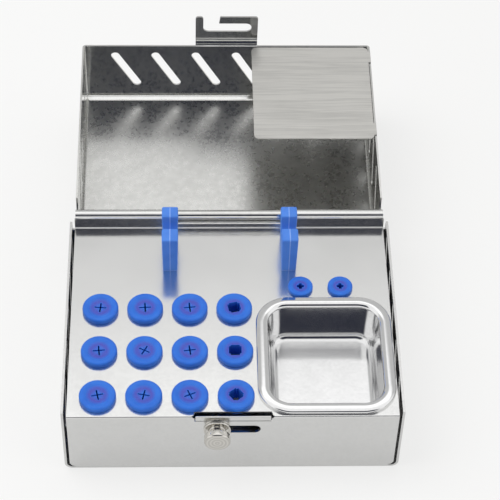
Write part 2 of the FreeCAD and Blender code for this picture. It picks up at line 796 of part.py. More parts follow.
def large_plugs():
    """The grid of large plugs: cross slits, and square sockets in the last column."""
    plugs = []
    for x, y, number in plug_places():
        body = silicone_plug(f"plug_{number + 1:02d}", s.plug_flange, s.plug_height, s.plug_stem,
                             s.plug_bead, s.plug_tail, s.plug_tail_depth)
        if number % PLUG_COLUMNS == SOCKET_COLUMN:
            pierce(body, s.plug_socket, s.plug_socket_arm)
        else:
            pierce(body, s.plug_slit_length, s.plug_slit_width)
        plugs.append(place(body, x, y, s.deck_height, SLIT_TURNS[number]))
    return plugs


def small_plugs():
    """Two small plugs behind the cup."""
    plugs = []
    ratio = s.small_plug_stem / s.plug_stem
    for side, (x, y) in zip(("left", "right"), small_plug_places()):
        body = silicone_plug(f"small_plug_{side}", s.small_plug_flange, s.small_plug_height, s.small_plug_stem,
                             s.plug_bead * ratio, s.plug_tail * ratio, s.plug_tail_depth)
        pierce(body, s.small_plug_hole, s.small_plug_hole_arm)
        plugs.append(place(body, x, y, s.deck_height))
    return plugs


def wrench_bracket(name, x):
    """Silicone post with a round-bottomed notch that holds a wrench, tongued into the deck."""
    body = new_body(name)
    zero = as_size(0)
    length = bracket_length
    top = s.bracket_height
    notch_near = s.bracket_front_lobe
    notch_far = notch_near + s.bracket_notch
    notch_floor = top - s.bracket_notch_depth
    side = Drawing(body, "Side", "YZ")
    side.outline([
        (zero, zero), (length, zero), (length, top), (notch_far, top), (notch_far, notch_floor),
        (notch_near, notch_floor), (notch_near, top), (zero, top),
    ])
    pad(body, side, s.bracket_width, both_ways=True)
    half = s.bracket_width / 2
    foot = s.bracket_foot_width / 2
    taper = Drawing(body, "Taper", "XZ")
    taper.outline([(foot, zero), (half + 1, zero), (half + 1, top), (half, top)])
    taper.outline([(-foot, zero), (-half, top), (-half - 1, top), (-half - 1, zero)])
    cut(body, taper, length * 3, both_ways=True)
    round_edges(body, lambda e: level_at(e, notch_floor.value) and along_x(e), s.bracket_notch / 2 - s.soft_gap)
    near, far = bracket_tongue_span()
    start = bracket_y
    tongue = Drawing(body, "Tongue", "XY")
    tongue.box(-s.bracket_tongue / 2, s.bracket_tongue / 2, near - start, far - start)
    pad(body, tongue, s.deck_sheet + s.soft_gap, reverse=True)
    bead = Drawing(body, "Bead", "XY", -(s.deck_sheet + s.soft_gap))
    bead.box(-s.bracket_bead / 2, s.bracket_bead / 2, near - start, far - start)
    pad(body, bead, s.bracket_bead_depth, reverse=True)
    ends = (0.0, notch_near.value, notch_far.value, length.value)

    def top_corner(edge):
        return along_x(edge) and level_at(edge, top.value) and any(is_near(box_of(edge).YMin, y) for y in ends)

    round_edges(body, top_corner, s.bracket_corner)
    return place(body, x, start, s.deck_height)


def lock_knob():
    """Turned knob of the latch: head, neck, flange on the wall and shank through it."""
    body = new_body("lock_knob")
    profile = Drawing(body, "Profile", "YZ", knob_x)
    zero = as_size(0)
    flange_rear = front - s.running_gap
    flange_front = flange_rear - s.knob_flange_thick
    neck_end = flange_front - s.knob_neck_length
    head_end = neck_end - s.knob_head_length
    head = s.knob_head / 2
    tail = front + s.deck_sheet + s.latch_depth + s.washer_thick + s.rivet_stand
    shank = s.shank_diameter / 2
    edge = s.knob_edge
    profile.raise_origin(knob_z)
    profile.outline([
        (tail, zero), (tail, shank), (flange_rear, shank), (flange_rear, s.knob_flange / 2),
        (flange_front, s.knob_flange / 2), (flange_front, s.knob_neck / 2), (neck_end, s.knob_neck / 2),
        (neck_end, head - edge), (neck_end - edge, head), (head_end + edge, head), (head_end, head - edge),
        (head_end, zero),
    ])
    revolve(body, profile, "H_Axis")
    return body


def knob_washer():
    """Washer riveted on the shank behind the front wall."""
    body = new_body("knob_washer")
    face = front + s.deck_sheet + s.latch_depth + s.washer_thick
    ring = Drawing(body, "Section", "XZ", -face)
    ring.circle(knob_x, knob_z, s.washer_diameter / 2)
    ring.circle(knob_x, knob_z, s.shank_diameter / 2 + s.pin_clearance)
    pad(body, ring, s.washer_thick)
    return body


def check(objects):
    """Stop if any object failed or any piece is not one valid solid."""
    for item in objects:
        if "Invalid" in item.State or "Error" in item.State:
            raise RuntimeError(f"{item.Label} failed: {item.State}")
    for item in objects:
        if item.TypeId == "PartDesign::Body":
            shape = item.Shape
            if shape.isNull() or not shape.isValid() or len(shape.Solids) != 1:
                raise RuntimeError(f"{item.Label} is not one valid solid")


def main():
    """Build every piece, check it and write it."""
    bodies = [base_tray(), deck_sheet(), lid_shell(), cup_cover(), hinge_pin(), sample_cup()]
    bodies += large_plugs()
    bodies += small_plugs()
    for side, share in (("left", s.bracket_left_share), ("right", s.bracket_right_share)):
        bodies.append(wrench_bracket(f"bracket_{side}", s.box_width * share))
    bodies += [lock_knob(), knob_washer()]
    doc.recompute()
    check(doc.Objects)
    os.makedirs("parts", exist_ok=True)
    for body in bodies:
        body.Shape.exportStep(f"parts/{body.Label}.step")


main()
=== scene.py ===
import logging
import math
from dataclasses import dataclass, field
from enum import Enum
from typing import Callable, Sequence

import bmesh
import bpy
from mathutils import Matrix, Vector


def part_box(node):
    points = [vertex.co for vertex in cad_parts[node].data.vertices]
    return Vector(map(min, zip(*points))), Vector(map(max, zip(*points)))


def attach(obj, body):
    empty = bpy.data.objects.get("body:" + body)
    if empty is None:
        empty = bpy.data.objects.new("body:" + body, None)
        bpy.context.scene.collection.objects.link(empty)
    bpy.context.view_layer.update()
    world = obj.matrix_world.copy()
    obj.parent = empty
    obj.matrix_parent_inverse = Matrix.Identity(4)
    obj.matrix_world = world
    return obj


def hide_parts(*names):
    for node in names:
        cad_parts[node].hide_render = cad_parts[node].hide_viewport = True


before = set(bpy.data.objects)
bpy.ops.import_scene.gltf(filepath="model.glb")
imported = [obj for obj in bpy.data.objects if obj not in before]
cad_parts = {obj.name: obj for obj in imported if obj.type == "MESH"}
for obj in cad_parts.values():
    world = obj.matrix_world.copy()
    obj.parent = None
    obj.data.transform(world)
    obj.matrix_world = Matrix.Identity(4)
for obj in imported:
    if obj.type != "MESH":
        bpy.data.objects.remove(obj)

logging.basicConfig(level=logging.INFO, format="%(message)s")
log = logging.getLogger("instrument_box")

FLOAT = "NodeSocketFloat"
MM = 0.001
MERGE = 2e-6
MERGE_RESHAPED = 3e-5
FLAT_EDGE = 1e-6
QUARTER = math.radians(90)
WAVE_PERIOD = 0.31
Colour = tuple[float, float, float]
Point = tuple[float, float, float]
Place = tuple[float, float]
Profile = list[Place]
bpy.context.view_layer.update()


class Side(Enum):
    """Left and right as one stands before the box."""

    LEFT = "left"
    RIGHT = "right"


class Tree:
    """A node tree with short calls for adding and joining nodes."""

    def __init__(self, tree: bpy.types.NodeTree) -> None:
        """Wrap a tree.

        Args:
            tree: the node tree.
        """
        self.tree = tree

    def add(self, kind: str, inputs: dict | None = None, **settings: object) -> bpy.types.Node:
        """Add a node.

        Args:
            kind: the node's type name.
            inputs: values or sockets by the input's name or number.
            settings: properties of the node, such as its operation.

        Returns:
            The new node.
        """
        node = self.tree.nodes.new(kind)
        for name, value in settings.items():
            setattr(node, name, value)
        for key, value in (inputs or {}).items():
            socket = node.inputs[key]
            if isinstance(value, bpy.types.NodeSocket):
                self.tree.links.new(value, socket)
            else:
                socket.default_value = value
        return node

    def math(self, operation: str, first: object, second: object = 0.0) -> bpy.types.NodeSocket:
        """Join two numbers by a Math node.

        Args:
            operation: what the node does.
            first: a value or socket.
            second: a value or socket.

        Returns:
            The result's socket.
        """
        return self.add("ShaderNodeMath", {0: first, 1: second}, operation=operation).outputs[0]

    def smooth_step(self, value: object, low: float, high: float, start: object = 0.0,
                    end: object = 1.0) -> bpy.types.NodeSocket:
        """Ease from start to end while a value goes from low to high.

        Args:
            value: the value or socket that drives it.
            low: where the easing starts.
            high: where it ends.
            start: the result up to low.
            end: the result from high on.

        Returns:
            The result's socket.
        """
        inputs = {"Value": value, "From Min": low, "From Max": high, "To Min": start, "To Max": end}
        return self.add("ShaderNodeMapRange", inputs, interpolation_type="SMOOTHSTEP").outputs[0]

    def noise(self, place: bpy.types.NodeSocket, scale: object, detail: float = 3.0) -> bpy.types.NodeSocket:
        """A noise texture's value at a place.

        Args:
            place: the socket of the place.
            scale: how fine the noise is.
            detail: how many finer layers it has.

        Returns:
            The value's socket.
        """
        inputs = {"Vector": place, "Scale": scale, "Detail": detail}
        return self.add("ShaderNodeTexNoise", inputs).outputs["Fac"]

    def blend(self, share: object, first: object, second: object) -> bpy.types.NodeSocket:
        """Mix two colours by a share.

        Args:
            share: how much of the second colour there is.
            first: a colour or socket.
            second: a colour or socket.

        Returns:
            The mixed colour's socket.
        """
        node = self.add("ShaderNodeMix", {0: share, 6: first, 7: second}, data_type="RGBA")
        return node.outputs[2]


def shader_group(name: str, inputs: Sequence[tuple[str, str, object]],
                 outputs: Sequence[tuple[str, str]]) -> tuple[Tree, bpy.types.Node, bpy.types.Node]:
    """Make an empty shader node group.

    Args:
        name: the group's name.
        inputs: name, socket type and start value of each input.
        outputs: name and socket type of each output.

    Returns:
        The tree, its input node and its output node.
    """
    group = bpy.data.node_groups.new(name, "ShaderNodeTree")
    for label, kind, value in inputs:
        socket = group.interface.new_socket(name=label, in_out="INPUT", socket_type=kind)
        socket.default_value = value
    for label, kind in outputs:
        group.interface.new_socket(name=label, in_out="OUTPUT", socket_type=kind)
    tree = Tree(group)
    return tree, tree.add("NodeGroupInput"), tree.add("NodeGroupOutput")


def new_material(name: str) -> tuple[bpy.types.Material, Tree, bpy.types.Node]:
    """Make a material with a Principled shader.

    Args:
        name: its name.

    Returns:
        The material, its tree and its shader.
    """
    made = bpy.data.materials.new(name)
    made.use_nodes = True
    return made, Tree(made.node_tree), made.node_tree.nodes["Principled BSDF"]


@dataclass
class Effects:
    """The effects that several finishes share, each a node group built once."""

    grain: bpy.types.NodeTree = field(init=False)
    handling: bpy.types.NodeTree = field(init=False)

    def __post_init__(self) -> None:
        """Build each group."""
        self.grain = self._grain()
        self.handling = self._handling()

    def _grain(self) -> bpy.types.NodeTree:
        """Fine rolled or brushed lines, stretched along one axis.

        Returns:
            The group, which gives a height and a mask.
        """
        inputs = [("Vector", "NodeSocketVector", (0.0, 0.0, 0.0)),
                  ("Stretch", "NodeSocketVector", (1.0, 1.0, 1.0)),
                  ("Fineness", FLOAT, 900.0)]
        outputs = [("Height", FLOAT), ("Mask", FLOAT)]
        tree, start, end = shader_group("Grain", inputs, outputs)
        place = tree.add("ShaderNodeVectorMath", {0: start.outputs["Vector"], 1: start.outputs["Stretch"]},
                         operation="MULTIPLY")
        fine = tree.noise(place.outputs[0], start.outputs["Fineness"], 5.0)
        broad = tree.noise(place.outputs[0], tree.math("MULTIPLY", start.outputs["Fineness"], 0.23), 2.0)
        height = tree.math("ADD", tree.math("MULTIPLY", fine, 0.6), tree.math("MULTIPLY", broad, 0.4))
        tree.tree.links.new(height, end.inputs["Height"])
        tree.tree.links.new(tree.smooth_step(height, 0.38, 0.62), end.inputs["Mask"])
        return tree.tree

    def _handling(self) -> bpy.types.NodeTree:
        """Cloudy marks of wiping and handling, and a few hair scratches.

        Returns:
            The group, which gives a mask.
        """
        inputs = [("Vector", "NodeSocketVector", (0.0, 0.0, 0.0)), ("Cloud", FLOAT, 30.0),
                  ("Scratches", FLOAT, 0.3)]
        tree, start, end = shader_group("Handling", inputs, [("Mask", FLOAT)])
        wiped = tree.noise(start.outputs["Vector"], start.outputs["Cloud"], 4.0)
        cloud = tree.smooth_step(wiped, 0.35, 0.7)
        turned = tree.add("ShaderNodeMapping", {
            "Vector": start.outputs["Vector"], "Rotation": (0.3, 0.2, 0.7), "Scale": (30.0, 900.0, 30.0)})
        hair = tree.noise(turned.outputs[0], 2.0, 2.0)
        line = tree.math("MULTIPLY", tree.smooth_step(hair, 0.66, 0.72), start.outputs["Scratches"])
        tree.tree.links.new(tree.math("MAXIMUM", cloud, line), end.inputs["Mask"])
        return tree.tree


@dataclass(frozen=True)
class SteelFinish:
    """Stainless steel, from mirror-like to brushed.

    Below haze_below, in metres, the roughness grows by haze to haze + mottle in patches.
    """

    name: str
    tint: Colour = (0.80, 0.80, 0.79)
    dull_tint: Colour = (0.70, 0.70, 0.69)
    roughness: float = 0.2
    spread: float = 0.06
    fineness: float = 900.0
    stretch: Point = (1.0, 1.0, 1.0)
    relief: float = 0.02
    relief_height: float = 0.0002
    cloud: float = 30.0
    scratches: float = 0.3
    mottle: float = 0.0
    haze: float = 0.0
    haze_below: float = 0.0
    haze_fade: float = 0.003
    patch_scale: float = 480.0

    def material(self, effects: Effects) -> bpy.types.Material:
        """Build the finish as a material.

        Args:
            effects: the shared node groups.

        Returns:
            The material.
        """
        made, tree, shader = new_material(self.name)
        place = tree.add("ShaderNodeTexCoord").outputs["Object"]
        grain = tree.add("ShaderNodeGroup", node_tree=effects.grain)
        marks = tree.add("ShaderNodeGroup", node_tree=effects.handling)
        for node in (grain, marks):
            tree.tree.links.new(place, node.inputs["Vector"])
        grain.inputs["Stretch"].default_value = self.stretch
        grain.inputs["Fineness"].default_value = self.fineness
        marks.inputs["Cloud"].default_value = self.cloud
        marks.inputs["Scratches"].default_value = self.scratches
        share = tree.math("MULTIPLY", grain.outputs["Mask"], 0.5)
        colour = tree.blend(share, (*self.tint, 1.0), (*self.dull_tint, 1.0))
        low, high = self.roughness - self.spread, self.roughness + self.spread
        level = tree.math("ADD", tree.math("MULTIPLY", marks.outputs["Mask"], 0.6),
                          tree.math("MULTIPLY", grain.outputs["Mask"], 0.4))
        even = tree.add("ShaderNodeMapRange", {"Value": level, "To Min": low, "To Max": high}).outputs[0]
        speckle = tree.noise(place, self.patch_scale, 8.0)
        patches = tree.smooth_step(speckle, 0.25, 0.75, self.haze, self.haze + self.mottle)
        height = tree.add("ShaderNodeSeparateXYZ", {0: place}).outputs["Z"]
        lower = tree.smooth_step(height, self.haze_below, self.haze_below + self.haze_fade, 1.0, 0.0)
        rough = tree.math("ADD", even, tree.math("MULTIPLY", patches, lower))
        bump = tree.add("ShaderNodeBump", {
            "Strength": self.relief, "Distance": self.relief_height, "Height": grain.outputs["Height"]})
        for socket, name in ((colour, "Base Color"), (rough, "Roughness"), (bump.outputs[0], "Normal")):
            tree.tree.links.new(socket, shader.inputs[name])
        shader.inputs["Metallic"].default_value = 1.0
        return made


@dataclass(frozen=True)
class SiliconeFinish:
    """Moulded blue silicone rubber: satin, slightly see-through, with a fine bloom."""

    name: str
    colour: Colour = (0.030, 0.185, 0.74)
    deep: Colour = (0.018, 0.120, 0.60)
    middle: Colour = (0.075, 0.085, 0.50)
    roughness: float = 0.42
    bloom: float = 0.1

    def material(self, effects: Effects) -> bpy.types.Material:
        """Build the finish as a material.

        Args:
            effects: the shared node groups.

        Returns:
            The material.
        """
        made, tree, shader = new_material(self.name)
        place = tree.add("ShaderNodeTexCoord").outputs["Object"]
        marks = tree.add("ShaderNodeGroup", {"Vector": place, "Cloud": 160.0, "Scratches": 0.0},
                         node_tree=effects.handling)
        mottle = tree.noise(place, 1500.0, 3.0)
        share = tree.math("MULTIPLY", marks.outputs["Mask"], 0.45)
        skin = tree.blend(share, (*self.colour, 1.0), (*self.deep, 1.0))
        # Mixes the middle colour in, in mottled patches, where the centre attribute is set: the inner top of
        # each plug, and each bracket's parting line and foot.
        inner = tree.add("ShaderNodeAttribute", attribute_name="centre").outputs["Fac"]
        middle_share = tree.math("MULTIPLY", inner, tree.smooth_step(mottle, 0.2, 0.6, 0.55, 1.0))
        colour = tree.blend(middle_share, skin, (*self.middle, 1.0))
        rough = tree.add("ShaderNodeMapRange", {"Value": mottle, "To Min": self.roughness - self.bloom,
                                                "To Max": self.roughness + self.bloom}).outputs[0]
        bump = tree.add("ShaderNodeBump", {"Strength": 0.12, "Distance": 0.0001, "Height": mottle})
        for socket, name in ((colour, "Base Color"), (rough, "Roughness"), (bump.outputs[0], "Normal")):
            tree.tree.links.new(socket, shader.inputs[name])
        shader.inputs["Subsurface Weight"].default_value = 0.15
        shader.inputs["Subsurface Radius"].default_value = (0.3, 0.6, 1.0)
        shader.inputs["Subsurface Scale"].default_value = 0.0008
        shader.inputs["IOR"].default_value = 1.42
        return made


@dataclass(frozen=True)
class TurnedFinish:
    """Lathe-turned steel with fine rings round an axis along Y."""

    name: str
    centre: Vector
    pitch: float = 0.0013816
    tint: Colour = (0.76, 0.74, 0.70)
    groove_tint: Colour = (0.62, 0.60, 0.56)
    smoothest: float = 0.08
    roughest: float = 0.18

    def material(self, effects: Effects) -> bpy.types.Material:
        """Build the finish as a material.

        Args:
            effects: the shared node groups.

        Returns:
            The material.
        """
        made, tree, shader = new_material(self.name)
        place = tree.add("ShaderNodeTexCoord").outputs["Object"]
        centred = tree.add("ShaderNodeMapping", {"Vector": place, "Location": -self.centre})
        rings = tree.add("ShaderNodeTexWave", {
            "Vector": centred.outputs[0], "Scale": WAVE_PERIOD / self.pitch, "Distortion": 0.6, "Detail": 2.0},
                         wave_type="RINGS", rings_direction="Y")
        marks = tree.add("ShaderNodeGroup", {"Vector": place, "Cloud": 300.0, "Scratches": 0.2},
                         node_tree=effects.handling)
        rough = tree.add("ShaderNodeMapRange", {
            "Value": marks.outputs["Mask"], "To Min": self.smoothest, "To Max": self.roughest}).outputs[0]
        colour = tree.blend(rings.outputs["Fac"], (*self.tint, 1.0), (*self.groove_tint, 1.0))
        bump = tree.add("ShaderNodeBump", {
            "Strength": 0.15, "Distance": 0.00005, "Height": rings.outputs["Fac"]})
        for socket, name in ((colour, "Base Color"), (rough, "Roughness"), (bump.outputs[0], "Normal")):
            tree.tree.links.new(socket, shader.inputs[name])
        shader.inputs["Metallic"].default_value = 1.0
        return made


def rounded_rectangle(half_x: float, half_y: float, corner: float, per_corner: int,
                      per_side: int) -> Profile:
    """Points round a rectangle with round corners, counter-clockwise.

    Args:
        half_x: half its length along X.
        half_y: half its length along Y.
        corner: the corners' radius.
        per_corner: steps in each corner.
        per_side: steps on each side.

    Returns:
        The points.
    """
    points: Profile = []
    signs = ((1, 1), (-1, 1), (-1, -1), (1, -1))
    for quarter, (sx, sy) in enumerate(signs):
        cx, cy = sx * (half_x - corner), sy * (half_y - corner)
        for step in range(per_corner + 1):
            angle = QUARTER * (quarter + step / per_corner)
            points.append((cx + corner * math.cos(angle), cy + corner * math.sin(angle)))
        last = points[-1]
        nx, ny = signs[(quarter + 1) % 4]
        turn = QUARTER * (quarter + 1)
        next_x = nx * (half_x - corner) + corner * math.cos(turn)
        next_y = ny * (half_y - corner) + corner * math.sin(turn)
        for step in range(1, per_side):
            share = step / per_side
            points.append((last[0] + (next_x - last[0]) * share, last[1] + (next_y - last[1]) * share))
    return points


def loft(name: str, rings: Sequence[Sequence[Vector]], close_start: bool = True,
         close_end: bool = True) -> bpy.types.Object:
    """Skin a row of closed rings with equal counts.

    Args:
        name: the piece's name.
        rings: the rings in order.
        close_start: whether the first ring gets a cap.
        close_end: whether the last ring gets a cap.

    Returns:
        The new object, smooth, with its faces outwards.
    """
    made = bmesh.new()
    rows = [[made.verts.new(point) for point in ring] for ring in rings]
    count = len(rings[0])
    for low, high in zip(rows, rows[1:]):
        for i in range(count):
            j = (i + 1) % count
            made.faces.new((low[i], low[j], high[j], high[i]))
    if close_start:
        made.faces.new(list(reversed(rows[0])))
    if close_end:
        made.faces.new(rows[-1])
    bmesh.ops.remove_doubles(made, verts=made.verts, dist=1e-7)
    bmesh.ops.recalc_face_normals(made, faces=made.faces)
    return finished(name, made)


def finished(name: str, made: bmesh.types.BMesh, sharp: float = 35.0) -> bpy.types.Object:
    """Turn a bmesh into a smooth object.

    Args:
        name: the object's name.
        made: the bmesh, which is freed.
        sharp: edges past this angle in degrees stay sharp.

    Returns:
        The object, in the scene.
    """
    mesh = bpy.data.meshes.new(name)
    made.to_mesh(mesh)
    made.free()
    mesh.polygons.foreach_set("use_smooth", [True] * len(mesh.polygons))
    mesh.set_sharp_from_angle(angle=math.radians(sharp))
    thing = bpy.data.objects.new(name, mesh)
    bpy.context.scene.collection.objects.link(thing)
    return thing


def circle(radius: float, segments: int) -> Profile:
    """Points round a circle.

    Args:
        radius: its radius.
        segments: how many points there are.

    Returns:
        The points.
    """
    angles = [2 * math.pi * step / segments for step in range(segments)]
    return [(radius * math.cos(angle), radius * math.sin(angle)) for angle in angles]


def lathe(name: str, profile: Profile, segments: int = 64) -> bpy.types.Object:
    """Turn a profile round Z.

    Args:
        name: the piece's name.
        profile: radius and height of each point, in millimetres.
        segments: steps round the axis.

    Returns:
        The piece.
    """
    return loft(name, [[Vector((x, y, height)) * MM for x, y in circle(radius, segments)]
                       for radius, height in profile])


def soften(thing: bpy.types.Object, width: float, segments: int = 2, angle: float = 40.0) -> None:
    """Round a piece's edges by a live bevel and keep its flat faces flat.

    Args:
        thing: the piece.
        width: how wide the rounding is, in millimetres.
        segments: how many steps it has.
        angle: which edges count, in degrees.
    """
    bevel = thing.modifiers.new("Bevel", "BEVEL")
    bevel.width = width * MM
    bevel.segments = segments
    bevel.limit_method = "ANGLE"
    bevel.angle_limit = math.radians(angle)
    bevel.harden_normals = True
    weighted = thing.modifiers.new("Normals", "WEIGHTED_NORMAL")
    weighted.keep_sharp = True
    weighted.weight = 100


def copy_of(node: str, name: str, reshape: Callable[[float, float], Place] | None = None,
            sharp: float = 30.0) -> bpy.types.Object:
    """A merged copy of a CAD node's mesh, ready for soft edges.

    Args:
        node: the CAD node.
        name: the copy's name.
        reshape: moves a vertex, by its y and z in millimetres, before the copy is merged.
        sharp: edges past this angle in degrees stay sharp.

    Returns:
        The copy.
    """
    made = bmesh.new()
    made.from_mesh(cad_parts[node].data)
    for vertex in made.verts:
        if reshape:
            y, z = reshape(vertex.co.y / MM, vertex.co.z / MM)
            vertex.co.y, vertex.co.z = y * MM, z * MM
    bmesh.ops.remove_doubles(made, verts=made.verts, dist=MERGE_RESHAPED if reshape else MERGE)
    bmesh.ops.dissolve_degenerate(made, dist=FLAT_EDGE, edges=made.edges)
    bmesh.ops.dissolve_limit(made, angle_limit=math.radians(0.4), verts=made.verts, edges=made.edges)
    return finished(name, made, sharp)


def plain_mesh(thing: bpy.types.Object) -> None:
    """Replace a piece's mesh by what its modifiers make of it.

    Args:
        thing: the piece.
    """
    graph = bpy.context.evaluated_depsgraph_get()
    mesh = bpy.data.meshes.new_from_object(thing.evaluated_get(graph))
    made = bmesh.new()
    made.from_mesh(mesh)
    bmesh.ops.dissolve_degenerate(made, dist=FLAT_EDGE, edges=made.edges)
    made.to_mesh(mesh)
    made.free()
    thing.modifiers.clear()
    thing.data = mesh


def middle(node: str) -> Vector:
    """Find the middle of a CAD node's box.

    Args:
        node: the node.

    Returns:
        The middle.
    """
    low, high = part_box(node)
    return (low + high) / 2


def keep(thing: bpy.types.Object, body: str, slot: str, material: bpy.types.Material,
         *nodes: str) -> None:
    """Give a finished piece its finish, body and CAD nodes.

    Args:
        thing: the piece.
        body: the CAD body it rides on.
        slot: not used.
        material: its finish.
        nodes: the CAD nodes it stands for.
    """
    thing.data.materials.clear()
    thing.data.materials.append(material)
    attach(thing, body)
    if nodes:
        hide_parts(*nodes)
    log.info("%s: %d faces on %s", thing.name, len(thing.data.polygons), body)


# Lengths in the classes below are in millimetres, and become metres by MM.
@dataclass
class Casing:
    """The folded sheets: tray, deck and lid, with the hinge pin."""

    effects: Effects
    edge: float = 0.14
    pin_edge: float = 0.2
    sheet: float = 1.0
    slack: float = 0.1
    rear_bend: float = 4.8
    tight_bend: float = 0.5
    front_bend: float = 2.0
    tight_front: float = 0.8
    front_wall: float = 51.5
    rear_wall: float = 50.5
    deck_level: float = 36.0
    tray_top: float = 36.4
    lip_low: Point = (-15.5, -51.5, 33.2)
    lip_high: Point = (15.5, -50.75, 35.9)
    lip_round: float = 0.3
    fold_corner: Place = (154.42, 13.2)
    fold_lean: float = 2.5
    fold_reach: float = 2.3
    fold_rise: float = 1.1
    fold_sag: float = 0.12
    fold_half: float = 66.7
    joggle: tuple[Place, ...] = (
        (152.92, 48.38), (153.78, 48.78), (154.62, 48.68), (154.9, 48.5), (153.6, 47.9))
    joggle_half: float = 14.4
    tray: SteelFinish = SteelFinish("TraySteel", roughness=0.24, stretch=(0.15, 1.0, 1.0), relief=0.03)
    deck: SteelFinish = SteelFinish(
        "DeckSteel", tint=(0.82, 0.82, 0.81), dull_tint=(0.78, 0.78, 0.77), roughness=0.2, spread=0.04,
        fineness=600.0, relief=0.01)
    lid: SteelFinish = SteelFinish(
        "LidSteel", tint=(0.74, 0.74, 0.72), dull_tint=(0.64, 0.64, 0.62), roughness=0.13, spread=0.03,
        fineness=300.0, relief=0.015, cloud=60.0, mottle=0.09, haze=0.12, haze_below=0.014)
    # The fold strips' steel is paler than the lid's: a painted highlight along the folds.
    fold: SteelFinish = SteelFinish(
        "FoldHighlightSteel", tint=(0.92, 0.92, 0.90), dull_tint=(0.88, 0.88, 0.86), roughness=0.12)
    pin: SteelFinish = SteelFinish("PinSteel", roughness=0.3, fineness=400.0, relief=0.05)

    def _lower_rear_wall(self, y: float, z: float) -> Place:
        """Lower the tray's rear wall, which the deck's tight bend would meet.

        Args:
            y: a vertex's place along Y, in millimetres.
            z: its height.

        Returns:
            Where it goes.
        """
        half = self.sheet / 2
        if abs(y - self.rear_wall - half) < half + self.slack and abs(z - self.tray_top) < self.slack / 2:
            return y, self.deck_level - self.sheet - self.slack
        return y, z

    def _tighten_bends(self, y: float, z: float) -> Place:
        """Draw the deck's two bends tight.

        Args:
            y: a vertex's place along Y, in millimetres.
            z: its height.

        Returns:
            Where it goes.
        """
        level, sheet, slack, touch = self.deck_level, self.sheet, self.slack, self.slack / 10
        wide, tight = self.rear_bend, self.tight_bend
        across, down = y - (self.rear_wall - wide), level + wide - z
        reach = math.hypot(across, down)
        if min(across, down) > -touch and wide - slack < reach < wide + sheet + slack:
            turning = math.acos((wide - tight) / wide)
            radius, angle = reach - wide + tight, math.atan2(across, down)
            bend = QUARTER * min(angle / turning, 1.0)
            foot = level + wide - reach * math.cos(turning)
            low = level + tight - radius * math.cos(bend)
            if angle > turning:
                low = level + tight + (z - foot) * (wide - tight) / (level + wide - foot)
            return self.rear_wall - tight + radius * math.sin(bend), low
        wide, tight, front = self.front_bend, self.tight_front, -self.front_wall
        across, up = front + wide - y, z - (level - wide)
        reach = math.hypot(across, up)
        if min(across, up) > -touch and wide - sheet - slack < reach < wide + slack:
            angle, kept = math.atan2(across, up), wide - sheet
            side, rise = math.sin(angle), math.cos(angle)
            inner = Vector((front + wide - kept * side, level - wide + kept * rise))
            outer = Vector((front + tight - tight * side, level - tight + tight * rise))
            return tuple(inner.lerp(outer, (reach - kept) / sheet))
        return y, z

    def _lid_fold(self) -> None:
        """The bright fold between the lid's plate and its far wall, and the one at the tab's foot, in a paler
        steel tint that paints part of their highlight.
        """
        corner, lean = Vector(self.fold_corner), math.radians(self.fold_lean)
        along = Vector((math.cos(lean), math.sin(lean)))
        upward = Vector((-along.y, along.x))
        section = [corner + along * 0.3 - upward * 0.3, corner - along * self.fold_reach - upward * 0.2]
        steps = 6
        for step in range(steps + 1):
            share = step / steps
            sag = self.fold_sag * 4 * share * (1 - share)
            back = self.fold_reach * (1 - share) - sag * 0.42
            section.append(corner - along * back + upward * (self.fold_rise * share - sag * 0.9))
        section.append(corner + along * 0.3 + upward * self.fold_rise)
        material = self.fold.material(self.effects)
        for name, outline, half in (("lid_fold", section, self.fold_half),
                                    ("tab_fold", self.joggle, self.joggle_half)):
            strip = loft(name, [[Vector((x, y, z)) * MM for y, z in outline] for x in (-half, half)])
            keep(strip, "lid", "lid_steel", material)

    def _slit_lip(self) -> None:
        """The front wall's edge that closes the slit to a narrow gap."""
        low, high = Vector(self.lip_low) * MM, Vector(self.lip_high) * MM
        made = bmesh.new()
        bmesh.ops.create_cube(made, size=1.0)
        bmesh.ops.scale(made, vec=high - low, verts=made.verts)
        bmesh.ops.translate(made, vec=(low + high) / 2, verts=made.verts)
        lip = finished("slit_lip", made)
        soften(lip, self.lip_round, 4)
        keep(lip, "base", "deck_steel", bpy.data.materials[self.deck.name])

    def build(self) -> None:
        """Dress the three sheets and the pin."""
        for node, slot, body, finish, reshape in (
            ("base_tray", "tray_steel", "base", self.tray, self._lower_rear_wall),
            ("deck_sheet", "deck_steel", "base", self.deck, self._tighten_bends),
            ("lid_shell", "lid_steel", "lid", self.lid, None),
        ):
            sheet = copy_of(node, f"{node}_dressed", reshape)
            soften(sheet, self.edge)
            keep(sheet, body, slot, finish.material(self.effects), node)
        self._slit_lip()
        self._lid_fold()
        pin = copy_of("hinge_pin", "hinge_pin_dressed")
        soften(pin, self.pin_edge)
        keep(pin, "base", "pin_steel", self.pin.material(self.effects), "hinge_pin")


@dataclass
class Cover:
    """The brushed plate in the lid's corner."""

    effects: Effects
    edge: float = 0.12
    finish: SteelFinish = SteelFinish(
        "CoverSteel", tint=(0.66, 0.65, 0.62), dull_tint=(0.48, 0.475, 0.455), roughness=0.4, spread=0.08,
        fineness=1400.0, stretch=(0.035, 1.0, 1.0), relief=0.25, cloud=140.0, scratches=0.8)

    def build(self) -> None:
        """Dress the plate."""
        plate = copy_of("cup_cover", "cup_cover_dressed")
        soften(plate, self.edge)
        keep(plate, "lid", "cover_steel", self.finish.material(self.effects), "cup_cover")


